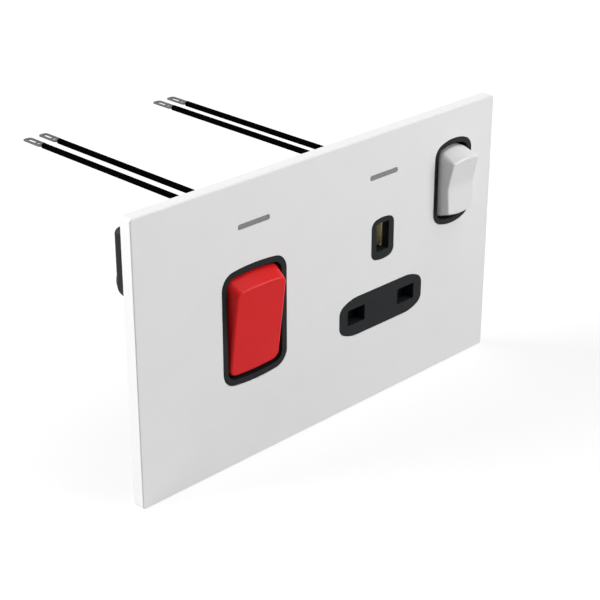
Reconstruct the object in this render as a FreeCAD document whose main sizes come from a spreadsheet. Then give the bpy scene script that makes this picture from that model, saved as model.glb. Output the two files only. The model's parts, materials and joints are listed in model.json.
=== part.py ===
"""Flush cooker control unit: a double-pole cooker switch, a shuttered switched socket and their indicators.

Frame: +X to the right, +Y into the wall, +Z up, in millimetres. The origin is the centre of the fixing
plane, where the back of the moulding's flange meets the wall box.
"""
import FreeCAD, Part
import math
import os
import re
import Sketcher

SIZES = {
    # front plate
    "plate_width": 146, "plate_height": 86, "plate_depth": 4, "plate_skin": 1.6, "plate_rim": 2,
    "plate_corner": 0.8, "plate_edge": 0.35, "skin_gap": 0.2, "reveal_gap": 0.15, "rim_gap": 0.3,
    "hook_side": 19, "hook_height": 5.5, "hook_width": 8, "hook_thickness": 1.2, "hook_nose": 0.5,
    "hook_ledge": 0.9, "hook_gap": 0.3,
    # fixing holes and the screws that hold the two mouldings together
    "fixing_side": 12.7, "fixing_hole": 1.95, "fixing_sink": 3.3, "fixing_sink_depth": 1.35,
    "boss_radius": 3, "boss_height": 8, "ear_radius": 3.5, "ear_thickness": 2.4, "screw_radius": 1.5,
    "screw_gap": 0.05, "screw_reach": 6, "screw_end_gap": 0.5, "screw_head": 2.6,
    "screw_head_height": 1.9, "driver_slot": 0.7, "driver_slot_depth": 0.9, "boss_reach": 4,
    "boss_low": -18, "boss_above": 4.5, "boss_middle": 9.7,
    # cooker switch
    "cooker_side": 43.06, "cooker_z": 0, "cooker_opening_width": 24.87, "cooker_opening_height": 36.2,
    "cooker_opening_corner": 5, "cooker_opening_bow": 65, "cooker_well_wall": 1.75,
    "cooker_bearing_wall": 3.45, "cooker_well_depth": 6.5, "cooker_face_bow": 80, "cooker_face_drop": 0.8,
    "cooker_side_gap": 0.2, "cooker_end_gap": 0.4, "cooker_tilt": 7.6, "cooker_face_height": 4.95,
    "cooker_face_width": 19, "cooker_face_length": 28.1, "cooker_foot_rise": 0.4, "cooker_skirt": 3,
    "cooker_foot_corner": 3, "cooker_face_corner": 2.7, "cooker_shell": 2.05, "cooker_front_wall": 2,
    "cooker_pole_offset": 5.2, "cooker_pivot_depth": 13, "cooker_contact_tilt": 6,
    "cooker_contact_width": 6.8, "cooker_contact_arm": 11, "cooker_button_arm": 9.5,
    "cooker_contact_seat": 1.3, "cooker_contact_thickness": 1.4, "cooker_pin_radius": 1,
    "cooker_plunger_radius": 1.6, "cooker_plunger_gap": 0.3, "cooker_socket_radius": 2.6,
    "cooker_socket_reach": 6.6, "cooker_spring_length": 5, "cooker_bar_front": 15.3,
    # socket switch
    "switch_side": 18.55, "switch_z": 19.42, "switch_opening_width": 17.2, "switch_opening_height": 28.04,
    "switch_opening_corner": 4.6, "switch_opening_bow": 16.5, "switch_well_wall": 1.55,
    "switch_bearing_wall": 2.3, "switch_well_depth": 6, "switch_face_bow": 22, "switch_face_drop": -0.4,
    "switch_side_gap": 0.2, "switch_end_gap": 0.5, "switch_tilt": 5, "switch_face_height": 8.15,
    "switch_face_width": 12.1, "switch_face_length": 18.2, "switch_foot_rise": 2.7, "switch_skirt": 3,
    "switch_foot_corner": 3.2, "switch_face_corner": 0.9, "switch_shell": 1.6, "switch_front_wall": 3.2,
    "switch_dish": 1.3, "switch_dish_over": 0.3, "switch_knee": 10, "switch_pivot_depth": 10.6,
    "switch_contact_tilt": 5,
    "switch_contact_width": 5.2, "switch_contact_arm": 7, "switch_button_arm": 6,
    "switch_contact_seat": 1.1, "switch_contact_thickness": 1.2, "switch_pin_radius": 0.8,
    "switch_plunger_radius": 1.4, "switch_plunger_gap": 0.25, "switch_socket_radius": 2.4,
    "switch_socket_reach": 5.4, "switch_spring_length": 5, "switch_bar_front": 12.8,
    # what both switches share
    "pivot_inset": 0.6, "trunnion_radius": 1.5, "trunnion_reach": 1.9, "running_gap": 0.05,
    "cooker_edge": 0.9, "switch_edge": 0.6, "ear_sheet": 0.8, "ear_reach": 1.7, "button_radius": 1.9,
    "button_height": 0.8, "button_gap": 0.4, "post_share": 0.9, "bar_inset": 0.4, "cooker_bar_low": 5.5,
    "cooker_bracket_high": 1.6, "switch_bar_low": 3.4, "switch_bracket_high": 1.2,
    "bar_thickness": 1.5, "plunger_tail": 3.3, "plunger_bore_gap": 0.1, "spring_wire": 0.4,
    "spring_turns": 5, "spring_side_gap": 0.15, "seat_gap": 0.05,
    # terminals
    "terminal_offset": 9.5, "terminal_width": 9, "terminal_depth": 11, "terminal_height": 8.9,
    "terminal_clear": 0.5, "cable_bore": 3, "cable_depth": 5.5, "cable_entry": 3.8, "clamp_radius": 2.4,
    "clamp_head": 3.6, "clamp_head_height": 1.8, "clamp_access": 4, "clamp_gap": 0.1, "clamp_clear": 0.2,
    "earth_side": 8, "earth_block_width": 8, "earth_block_depth": 8, "earth_block_height": 8,
    "earth_block_front": 2, "earth_bore": 2.4, "earth_entry": 2.9, "earth_clamp": 1.9,
    "earth_clamp_head": 2.6, "earth_access": 3,
    # rear housing
    "housing_wall": 1.6, "housing_floor": 2, "tub_corner": 1.2, "cooker_tub_width": 32.3,
    "cooker_tub_gap": 2.75, "cooker_deep_height": 55, "cooker_deep_start": 11.2, "cooker_tub_depth": 30,
    "socket_tub_side": 2.55,
    "socket_tub_bottom": -28, "socket_tub_headroom": 1.2, "socket_tub_depth": 24, "switch_tub_width": 22.3,
    "switch_tub_bottom": 2.9, "switch_tub_top": 36, "switch_deep_top": 30.6, "switch_deep_start": 9.6,
    "lobe_width": 16.8, "lobe_bottom": 11, "lobe_headroom": 1.4, "lobe_depth": 16.8, "lobe_corner": 2,
    "lobe_foot": 4, "lobe_boss_side": 7, "lobe_boss_z": 15.8, "lobe_boss_radius": 6, "lobe_boss_start": 4,
    "lobe_boss_height": 0.3, "barrier_thickness": 1.5, "barrier_front": 14, "slot_gap": 0.3,
    # socket
    "face_margin": 1.05, "face_lap": 0.6, "face_ledge": 1.2, "face_step": 1.1, "face_gap": 0.1,
    "face_corner": 1.5,
    "socket_x": 22.8, "pin_spacing": 22.2, "line_z": -12.3, "earth_z": 10.2, "line_island_width": 36.94,
    "line_island_height": 12.74, "line_island_z": -12.48, "line_island_corner": 3.4,
    "line_island_bow": 13.3, "line_island_end": 16, "earth_island_width": 9.93,
    "earth_island_height": 13.73, "earth_island_z": 9.66, "earth_island_corner": 2.58,
    "earth_island_bow": 11.8,
    "line_hole_width": 7.5, "line_hole_height": 5.1, "earth_hole_width": 5.4, "earth_hole_height": 9,
    "hole_corner": 0.4, "earth_wall": 2.6, "leaf_thickness": 0.7, "leaf_mouth": 4.3, "dimple_radius": 0.7,
    "dimple_rise": 0.4, "dimple_inset": 1, "line_leaf_front": 3, "line_leaf_width": 6.4,
    "line_dimple": 10, "earth_leaf_inset": 0.2, "earth_leaf_height": 9.2, "earth_dimple": 14,
    "link_sheet": 1.2, "link_lane": 4, "link_foot": 4,
    "link_width": 3, "live_link_z": 17, "neutral_link_z": 12.3, "link_corner_side": 8.55, "link_row_z": 8.5,
    "strap_sheet": 1, "strap_width": 5, "strap_front": 0.6, "strap_gap": 0.55, "strap_tail_end": 8,
    "shutter_sheet": 1.8, "shutter_gap": 0.15, "shutter_side": 5.7, "shutter_over": 2.7,
    "shutter_travel": 5.6, "shutter_arm": 3.2, "ramp_foot": 5.2, "ramp_rise": 6.6, "ramp_depth": 8,
    "guide_wall": 1.6, "guide_gap": 0.3, "guide_height": 3.4, "shutter_spring_length": 7.8,
    "shutter_spring_radius": 0.95, "shutter_spring_wire": 0.35, "shutter_seat": 1,
    "shutter_seat_width": 6,
    # indicators and their leads
    "slot_length": 12, "slot_height": 1.6, "lens_gap": 0.1, "lens_inset": 0.05, "lens_foot_length": 13.6,
    "lens_foot_height": 4.4, "lens_foot_depth": 1, "led_length": 4, "led_height": 3, "led_depth": 1.8,
    "led_edge": 0.4, "led_gap": 0.2, "board_length": 13.6, "board_height": 6.4, "board_depth": 1.2,
    "foot_corner": 0.5, "cover_length": 16, "cover_height": 8.8, "cover_depth": 10.5, "cover_wall": 1,
    "cover_gap": 1.6, "cover_corner": 1.2, "lead_spacing": 6, "lead_radius": 0.93,
    "lead_end": 87, "gland_gap": 0.1, "tag_width": 3.2, "tag_length": 9, "tag_sheet": 0.35,
    "tag_corner": 1.1, "tag_hole_length": 4.1, "tag_hole_width": 1.2, "tag_hole_start": 3.7,
    "tag_window_length": 1.5, "tag_window_start": 1.9,
    # how far joined solids reach into each other, and how far a cutting solid passes what it cuts
    "bond": 0.3, "past": 1,
}
# Two places nearer than this are the same place.
NEAR = 0.01

# Places and sizes that follow from the ones above.
DERIVED = {
    "plate_front": "-plate_depth",
    "skin_back": "plate_skin - plate_depth",
    "flange_front": "skin_back + skin_gap",
    "flange_width": "plate_width - 2 * plate_rim - 2 * rim_gap",
    "flange_height": "plate_height - 2 * plate_rim - 2 * rim_gap",
    "pivot_y": "-pivot_inset",
    "cooker_x": "cooker_side - plate_width / 2",
    "switch_x": "plate_width / 2 - switch_side",
    "fixing_x": "plate_width / 2 - fixing_side",
    "hook_x": "plate_width / 2 - hook_side",
    "hook_z": "plate_height / 2 - hook_height",
    "cooker_well_width": "cooker_opening_width - 2 * reveal_gap - 2 * cooker_well_wall",
    "cooker_well_height": "cooker_opening_height - 2 * reveal_gap - 2 * cooker_well_wall",
    "cooker_well_bow": "cooker_opening_bow - reveal_gap - cooker_well_wall",
    "cooker_foot_bow": "cooker_well_bow - cooker_end_gap",
    "cooker_end_radius": "cooker_well_height / 2 - cooker_end_gap",
    "cooker_foot_width": "cooker_well_width - 2 * cooker_side_gap",
    "cooker_foot_length": "2 * sqrt(cooker_end_radius ^ 2 - cooker_skirt ^ 2)",
    "switch_well_width": "switch_opening_width - 2 * reveal_gap - 2 * switch_well_wall",
    "switch_well_height": "switch_opening_height - 2 * reveal_gap - 2 * switch_well_wall",
    "switch_well_bow": "switch_opening_bow - reveal_gap - switch_well_wall",
    "switch_foot_bow": "switch_well_bow - switch_end_gap",
    "switch_end_radius": "switch_well_height / 2 - switch_end_gap",
    "switch_foot_width": "switch_well_width - 2 * switch_side_gap",
    "switch_foot_length": "2 * sqrt(switch_end_radius ^ 2 - switch_skirt ^ 2)",
    "cooker_tip": "((cooker_pivot_depth + pivot_inset) * cos(cooker_contact_tilt) - cooker_contact_seat"
                  " - cooker_contact_thickness - cooker_plunger_radius - cooker_plunger_gap)"
                  " / cos(cooker_tilt + cooker_contact_tilt)",
    "switch_tip": "((switch_pivot_depth + pivot_inset) * cos(switch_contact_tilt) - switch_contact_seat"
                  " - switch_contact_thickness - switch_plunger_radius - switch_plunger_gap)"
                  " / cos(switch_tilt + switch_contact_tilt)",
    "cooker_bore_top": "plunger_tail - cooker_spring_length",
    "switch_bore_top": "plunger_tail - switch_spring_length",
    "cooker_tub_height": "cooker_well_height + 2 * (cooker_bearing_wall + cooker_tub_gap + housing_wall)",
    "cooker_left": "cooker_x - cooker_tub_width / 2",
    "cooker_right": "cooker_x + cooker_tub_width / 2",
    "cooker_floor": "cooker_tub_depth - housing_floor",
    "socket_floor": "socket_tub_depth - housing_floor",
    "socket_tub_right": "switch_x - socket_tub_side",
    "strap_z": "cooker_well_height / 2 + cooker_bearing_wall + strap_gap",
    "socket_tub_top": "strap_z + strap_sheet + socket_tub_headroom + housing_wall",
    "indicator_z": "socket_tub_top + cover_gap + cover_height / 2",
    "boss_left": "cooker_left - boss_reach",
    "boss_right": "socket_tub_right + boss_reach",
    "boss_mid": "cooker_right + boss_middle",
    "boss_high": "socket_tub_top + boss_above",
    "boss_foot": "socket_tub_bottom - boss_above",
    "link_corner_x": "switch_x - link_corner_side",
    "earth_x": "cooker_left - earth_side",
    "lobe_left": "cooker_left - lobe_width",
    "lobe_top": "earth_block_low + earth_block_height + lobe_headroom + housing_wall",
    "lobe_boss_x": "lobe_left + lobe_boss_side",
    "link_front": "socket_floor - link_sheet",
    "neutral_tab_x": "cooker_x - terminal_offset + terminal_width / 2",
    "switch_left": "switch_x - switch_tub_width / 2",
    "switch_right": "switch_x + switch_tub_width / 2",
    "terminal_front": "cooker_bar_front + bar_thickness",
    "terminal_back": "terminal_front + terminal_depth",
    "terminal_low": "cooker_deep_height / 2 - housing_wall - terminal_clear - terminal_height",
    "terminal_high": "terminal_low + terminal_height",
    "cable_y": "terminal_front + cable_depth",
    "clamp_z": "terminal_low + terminal_height / 2",
    "live_x": "socket_x + pin_spacing / 2",
    "neutral_x": "socket_x - pin_spacing / 2",
    "shutter_front": "shutter_gap",
    "shutter_back": "shutter_gap + shutter_sheet",
    "shutter_high": "line_z + line_hole_height / 2 + shutter_over",
    "shutter_low": "line_z - line_hole_height / 2 - shutter_over",
    "shutter_left": "neutral_x - shutter_side",
    "shutter_right": "live_x + shutter_side",
    "face_width": "shutter_right - shutter_left + 2 * (guide_gap + guide_wall + face_margin)",
    "face_top": "socket_tub_top - housing_wall + face_lap",
    "face_bottom": "socket_tub_bottom + housing_wall - face_lap",
    "strap_back": "strap_front + strap_width",
    "earth_left": "earth_x - earth_block_width / 2",
    "earth_leaf_right": "socket_x + leaf_mouth / 2 + leaf_thickness",
    "earth_block_back": "earth_block_front + earth_block_depth",
    "earth_block_low": "strap_z + strap_sheet",
    "board_front": "lens_foot_depth + led_gap + led_depth",
    "board_back": "board_front + board_depth",
    "slot_corner": "slot_height * 0.4",
}

doc = FreeCAD.newDocument("cooker_control_unit")
sheet = doc.addObject("Spreadsheet::Sheet", "Sizes")
for row, (word, number) in enumerate(SIZES.items(), start=1):
    sheet.set(f"A{row}", word)
    sheet.set(f"B{row}", str(number))
    sheet.setAlias(f"B{row}", word)
doc.recompute()

PIECES = []


def cells(formula):
    """A formula of named sizes, with each name as its cell in the sheet."""
    def cell(word):
        name = word[0]
        if name in DERIVED:
            return f"({cells(DERIVED[name])})"
        return f"Sizes.{name}" if name in SIZES else name
    return re.sub(r"[a-z][a-z_]*[a-z]", cell, str(formula))


def bind(thing, **formulas):
    """Binds properties of an object to formulas; a double underscore in a keyword stands for a dot."""
    for name, formula in formulas.items():
        thing.setExpression(name.replace("__", "."), cells(formula))
    return thing


def put(thing, x=0, y=0, z=0):
    """Binds an object's place and keeps its turn."""
    return bind(thing, Placement__Base__x=x, Placement__Base__y=y, Placement__Base__z=z)


def box(x, y, z):
    """A block between two formulas along each axis."""
    block = doc.addObject("Part::Box", "Block")
    bind(block, Length=f"({x[1]}) - ({x[0]})", Width=f"({y[1]}) - ({y[0]})", Height=f"({z[1]}) - ({z[0]})")
    return put(block, x[0], y[0], z[0])


def turned(axis):
    """The turn that lays an upright object along an axis."""
    turns = {"x": (FreeCAD.Vector(0, 1, 0), 90), "y": (FreeCAD.Vector(1, 0, 0), -90)}
    return FreeCAD.Rotation(*turns.get(axis, (FreeCAD.Vector(0, 0, 1), 0)))


def rod(axis, radius, length, x=0, y=0, z=0):
    """A round bar that starts at a point and runs along an axis."""
    bar = doc.addObject("Part::Cylinder", "Rod")
    bar.Placement.Rotation = turned(axis)
    bind(bar, Radius=radius, Height=length)
    return put(bar, x, y, z)


def taper(axis, first, last, length, x=0, y=0, z=0):
    """A cone that starts at a point and runs along an axis."""
    cone = doc.addObject("Part::Cone", "Taper")
    cone.Placement.Rotation = turned(axis)
    bind(cone, Radius1=first, Radius2=last, Height=length)
    return put(cone, x, y, z)


def ball(radius, x=0, y=0, z=0):
    """A full ball round a point."""
    return put(bind(doc.addObject("Part::Sphere", "Ball"), Radius=radius), x, y, z)


def outline(width, height, corner, x=0, y=0, z=0, upright=True, bow=None):
    """A rectangle with round corners, facing the front or, laid flat, up; its ends may be bowed outwards."""
    shape = doc.addObject("Sketcher::SketchObject", "Outline")
    if upright:
        shape.Placement.Rotation = FreeCAD.Rotation(FreeCAD.Vector(1, 0, 0), 90)
    half, round_by, wide_round, turn = 10, 2, 40, math.pi / 2
    point, up = FreeCAD.Vector, FreeCAD.Vector(0, 0, 1)
    inner = half - round_by
    if bow:
        turn = math.acos(inner / (wide_round - round_by))

    def arc(centre, radius, start, end):
        """Draws an arc about a centre."""
        shape.addGeometry(Part.ArcOfCircle(Part.Circle(centre, up, radius), start, end))

    def line(start, end):
        """Draws a straight line."""
        shape.addGeometry(Part.LineSegment(start, end))
    starts = (0, math.pi - turn, math.pi, 2 * math.pi - turn)
    for (across, along), start in zip(((1, 1), (-1, 1), (-1, -1), (1, -1)), starts):
        arc(point(across * inner, along * inner), round_by, start, start + turn)
    depth = inner - (wide_round - round_by) * math.sin(turn)
    if bow:
        arc(point(0, depth), wide_round, turn, math.pi - turn)
    else:
        line(point(inner, half), point(-inner, half))
    line(point(-half, inner), point(-half, -inner))
    if bow:
        arc(point(0, -depth), wide_round, math.pi + turn, 2 * math.pi - turn)
    else:
        line(point(-inner, -half), point(inner, -half))
    line(point(half, -inner), point(half, inner))
    rule = Sketcher.Constraint
    for i in range(4):
        shape.addConstraint(rule("Tangent", i, 2, 4 + i, 1))
        shape.addConstraint(rule("Tangent", 4 + i, 2, (i + 1) % 4, 1))
        if i:
            shape.addConstraint(rule("Equal", 0, i))
    for i in (5, 7):
        shape.addConstraint(rule("Vertical", i))
    shape.addConstraint(rule("Symmetric", 0, 3, 2, 3, -1, 1))
    rows = f"({height}) - 2 * ({corner})"
    drivers = [("corner", rule("Radius", 0, round_by), corner),
               ("across", rule("DistanceX", 1, 3, 0, 3, 2 * inner), f"({width}) - 2 * ({corner})")]
    if bow:
        shape.addConstraint(rule("Equal", 4, 6))
        for i in (4, 6):
            shape.addConstraint(rule("PointOnObject", i, 3, -2))
        drivers.append(("bow", rule("Radius", 4, wide_round), bow))
        rows = (f"({height}) - 2 * ({bow}) + 2 * sqrt((({bow}) - ({corner})) ^ 2"
                f" - (({width}) / 2 - ({corner})) ^ 2)")
    else:
        for i in (4, 6):
            shape.addConstraint(rule("Horizontal", i))
    drivers.append(("along", rule("DistanceY", 3, 3, 0, 3, 2 * inner), rows))
    for name, driver, formula in drivers:
        number = shape.addConstraint(driver)
        shape.renameConstraint(number, name)
        shape.setExpression(f"Constraints.{name}", cells(formula))
    return put(shape, x, y, z)


def pushed(shape, direction, length):
    """A solid that an outline sweeps along a direction."""
    solid = doc.addObject("Part::Extrusion", "Slab")
    solid.Base = shape
    solid.DirMode = "Custom"
    solid.Dir = FreeCAD.Vector(*direction)
    solid.Solid = True
    return bind(solid, LengthFwd=length)


def slab(width, height, corner, y, x=0, z=0, bow=None):
    """A plate with round corners and maybe bowed ends, from one depth to another."""
    drawing = outline(width, height, corner, x, y[0], z, bow=bow)
    return pushed(drawing, (0, 1, 0), f"({y[1]}) - ({y[0]})")


def loft(first, last):
    """A solid between two outlines."""
    solid = doc.addObject("Part::Loft", "Loft")
    solid.Sections = [first, last]
    solid.Solid = True
    solid.Ruled = True
    return solid


def joined(*solids):
    """One solid made of several."""
    whole = doc.addObject("Part::MultiFuse", "Joined")
    whole.Shapes = list(solids)
    whole.Refine = True
    return whole


def cut(base, *tools):
    """A solid with others taken out of it."""
    rest = doc.addObject("Part::Cut", "Cut")
    rest.Base = base
    rest.Tool = tools[0] if len(tools) == 1 else joined(*tools)
    rest.Refine = True
    return rest


def softened(base, size, pick):
    """A solid with the edges that pick chooses rounded, by a size from the sheet or by one pick names."""
    doc.recompute()
    soft = doc.addObject("Part::Fillet", "Softened")
    soft.Base = base
    choices = []
    for number, edge in enumerate(base.Shape.Edges, start=1):
        choice = pick(base.Shape, edge)
        if choice:
            round_by = float(sheet.get(size if choice is True else choice))
            choices.append((number, round_by, round_by))
    soft.Edges = choices
    return soft


def piece(name, solid):
    """Names a finished sub-part."""
    solid.Label = name
    PIECES.append(solid)
    return solid


def group(name, solids):
    """A sub-part of several separate solids that are alike."""
    pack = doc.addObject("Part::Compound", "Group")
    pack.Links = list(solids)
    return piece(name, pack)


def tilted(solid, x, y, z, angle):
    """Places a solid at a pivot, turned about the pivot's X axis."""
    solid.Placement.Rotation = FreeCAD.Rotation(FreeCAD.Vector(1, 0, 0), 1)
    bind(solid, Placement__Rotation__Angle=angle)
    return put(solid, x, y, z)


def coil(radius, wire, length, turns):
    """A compression spring that runs along +Z from the origin, in faces of half a turn."""
    line = doc.addObject("Part::Helix", "Coil")
    line.SegmentLength = 0.5
    bind(line, Radius=radius, Height=f"({length}) - ({wire})", Pitch=f"(({length}) - ({wire})) / ({turns})")
    ring = doc.addObject("Part::Circle", "Wire")
    ring.Placement.Rotation = FreeCAD.Rotation(FreeCAD.Vector(1, 0, 0), 90)
    bind(ring, Radius=f"({wire}) / 2")
    put(ring, radius, 0, 0)
    spring = doc.addObject("Part::Sweep", "Spring")
    spring.Sections = [ring]
    doc.recompute()
    spring.Spine = (line, [f"Edge{i + 1}" for i in range(len(line.Shape.Edges))])
    spring.Solid = True
    spring.Frenet = True
    return spring


def screw(radius, length, head, head_height, x, y, z):
    """A slotted screw driven from behind: its head's underside is at y, and its shank runs to the front."""
    shank = rod("y", radius, length, x, f"({y}) - ({length})", z)
    top = rod("y", head, head_height, x, y, z)
    end = f"({y}) + ({head_height})"
    groove = box((f"({x}) - ({head})", f"({x}) + ({head})"), (f"{end} - driver_slot_depth", f"{end} + past"),
                 (f"({z}) - driver_slot / 2", f"({z}) + driver_slot / 2"))
    return cut(joined(shank, top), groove)


def front_face_edge(shape, edge):
    """Whether an edge belongs to the face of a solid that is furthest to the front."""
    front = min(shape.Faces, key=lambda face: face.CenterOfMass.y)
    return any(edge.isSame(other) for other in front.Edges)


# The shared drawing of what passes through the front plate: width, height, corner, bow, x and z.
OPENINGS = {
    key: tuple(f"{place}_{side}" for side in ("width", "height", "corner", "bow")) + (x, z)
    for key, place, x, z in (
        ("cooker", "cooker_opening", "cooker_x", "cooker_z"),
        ("switch", "switch_opening", "switch_x", "switch_z"),
        ("line", "line_island", "socket_x", "line_island_z"),
        ("earth", "earth_island", "socket_x", "earth_island_z"))
}
INDICATORS = {"cooker": "cooker_x", "socket": "socket_x"}
HOOKS = [(x, side) for x in ("-(hook_x)", "0", "hook_x") for side in (-1, 1)]
FIXINGS = ("-(fixing_x)", "fixing_x")
BOSSES = (("boss_left", "boss_low"), ("boss_right", "boss_low"), ("boss_mid", "boss_high"),
          ("boss_mid", "boss_foot"))


def opening(key, y, inset="0"):
    """What fills an opening of the front plate between two depths, held back from its edge by an inset."""
    width, height, corner, bow, x, z = OPENINGS[key]
    tall, corner, bow = f"{height} - 2 * {inset}", f"{corner} - {inset}", f"{bow} - {inset}"
    if key != "line":
        return slab(f"{width} - 2 * {inset}", tall, corner, y, x, z, bow)
    middle = f"({width} - line_island_end) / 2"
    ends = [slab(f"line_island_end - 2 * {inset}", tall, corner, y, f"{x} {sign} {middle}", z, bow)
            for sign in "+-"]
    return joined(*ends, box((f"{x} - {middle}", f"{x} + {middle}"), y,
                             (f"{z} - ({tall}) / 2", f"{z} + ({tall}) / 2")))


def front_plate():
    """The clip-on plate: a thin skin with a rim to the wall and snap hooks on its back."""
    outer = slab("plate_width", "plate_height", "plate_corner", ("plate_front", "0"))
    outer = softened(outer, "plate_edge", front_face_edge)
    inner = box(("plate_rim - plate_width / 2", "plate_width / 2 - plate_rim"), ("skin_back", "past"),
                ("plate_rim - plate_height / 2", "plate_height / 2 - plate_rim"))
    through = ("plate_front - past", "skin_back + past")
    holes = [opening(key, through) for key in OPENINGS]
    holes += [slab("slot_length", "slot_height", "slot_corner", through, x, "indicator_z")
              for x in INDICATORS.values()]
    hooks = []
    for x, side in HOOKS:
        wide = (f"{x} - hook_width / 2", f"{x} + hook_width / 2")
        near, far = f"{side} * hook_z", f"{side} * (hook_z + hook_thickness)"
        tip = f"{side} * (hook_z + hook_thickness + hook_nose)"
        low, high = (near, far) if side > 0 else (far, near)
        hooks.append(box(wide, ("skin_back - bond", "-hook_gap"), (low, high)))
        low, high = (near, tip) if side > 0 else (tip, near)
        hooks.append(box(wide, ("flange_front + hook_ledge + hook_gap / 2", "-hook_gap"), (low, high)))
    piece("front_plate", joined(cut(outer, inner, *holes), *hooks))


def well(key, wall, depth):
    """The ring round a rocker: flush with the plate in front, with thicker bearing walls behind."""
    _, _, corner, _, x, z = OPENINGS[key]
    ring = opening(key, ("plate_front", "flange_front + bond"), "reveal_gap")
    behind = slab(f"{key}_well_width + 2 * {wall}", f"{key}_well_height + 2 * {wall}", corner,
                  ("flange_front", depth), x, z)
    return ring, behind


def face_layers(gap):
    """The socket face in two layers: the back one is wider and seats behind the moulding's ledge."""
    middle = "(face_top + face_bottom) / 2"
    narrow = f"face_ledge + {gap}"
    front = slab(f"face_width - 2 * ({narrow})", f"face_top - face_bottom - 2 * ({narrow})", "face_corner",
                 ("flange_front", "bond - face_step"), "socket_x", middle)
    back = slab(f"face_width - 2 * ({gap})", f"face_top - face_bottom - 2 * ({gap})", "face_corner",
                ("-face_step", "0"), "socket_x", middle)
    return front, back


def front_moulding():
    """The dark moulding behind the plate: flange, rings, bearings, bosses and the window for the socket."""
    solids = [slab("flange_width", "flange_height", "plate_corner", ("flange_front", "0"))]
    solids += well("cooker", "cooker_bearing_wall", "cooker_well_depth")
    solids += well("switch", "switch_bearing_wall", "switch_well_depth")
    solids += [rod("y", "boss_radius", "boss_height + bond", x, "-bond", z) for x, z in BOSSES]
    tools = list(face_layers("0"))
    for key in ("cooker", "switch"):
        _, _, corner, _, x, z = OPENINGS[key]
        tools.append(slab(f"{key}_well_width", f"{key}_well_height",
                          f"{corner} - reveal_gap - {key}_well_wall",
                          ("plate_front - past", f"{key}_well_depth + past"), x, z, f"{key}_well_bow"))
        reach = f"{key}_foot_width + 2 * trunnion_reach + 2 * running_gap"
        tools.append(rod("x", "trunnion_radius + running_gap", reach, f"{x} - ({reach}) / 2", "pivot_y", z))
    through = ("plate_front - past", "past")
    tools += [slab("slot_length + 2 * lens_gap", "slot_height + 2 * lens_gap", "slot_corner", through,
                   x, "indicator_z") for x in INDICATORS.values()]
    for x in FIXINGS:
        tools.append(rod("y", "fixing_hole", "plate_depth + 2 * past", x, "plate_front - past"))
        tools.append(taper("y", "fixing_sink", "fixing_hole", "fixing_sink_depth", x, "flange_front"))
    for x, z in BOSSES:
        tools.append(rod("y", "screw_radius + screw_gap", "screw_reach + past",
                         x, "boss_height - screw_reach", z))
    for x, side in HOOKS:
        wide = (f"{x} - hook_width / 2 - hook_gap", f"{x} + hook_width / 2 + hook_gap")
        near = f"{side} * (hook_z - hook_gap)"
        far = f"{side} * (hook_z + hook_thickness + hook_gap)"
        tip = f"{side} * (hook_z + hook_thickness + hook_nose + hook_gap)"
        low, high = (near, far) if side > 0 else (far, near)
        tools.append(box(wide, ("flange_front - past", "past"), (low, high)))
        low, high = (near, tip) if side > 0 else (tip, near)
        tools.append(box(wide, ("flange_front + hook_ledge", "past"), (low, high)))
    piece("front_moulding", cut(joined(*solids), *tools))


def socket_face():
    """The moulding that guides a plug's pins: the two pin faces, with the shutter's guides behind them."""
    solids = list(face_layers("face_gap"))
    solids += [opening(key, ("plate_front", "flange_front + bond"), "reveal_gap")
               for key in ("line", "earth")]
    for left in ("shutter_left - guide_gap - guide_wall", "shutter_right + guide_gap"):
        solids.append(box((left, f"{left} + guide_wall"), ("-bond", "guide_height"),
                          ("shutter_low - shutter_travel", "shutter_high")))
    seat = "shutter_low - shutter_spring_length"
    solids.append(box(("socket_x - shutter_seat_width / 2", "socket_x + shutter_seat_width / 2"),
                      ("-bond", "guide_height"), (f"{seat} - shutter_seat", seat)))
    through = ("plate_front - past", "past")
    tools = [slab("line_hole_width", "line_hole_height", "hole_corner", through, x, "line_z")
             for x in ("live_x", "neutral_x")]
    tools.append(slab("earth_hole_width", "earth_hole_height", "hole_corner", through,
                      "socket_x", "earth_z"))
    half = "earth_leaf_height / 2 + slot_gap"
    tools.append(box(("socket_x - leaf_mouth / 2 - leaf_thickness - slot_gap",
                      "earth_leaf_right + strap_sheet + slot_gap"), ("plate_front + earth_wall", "past"),
                     (f"earth_z - ({half})", f"earth_z + {half}")))
    piece("socket_face", cut(joined(*solids), *tools))


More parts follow.
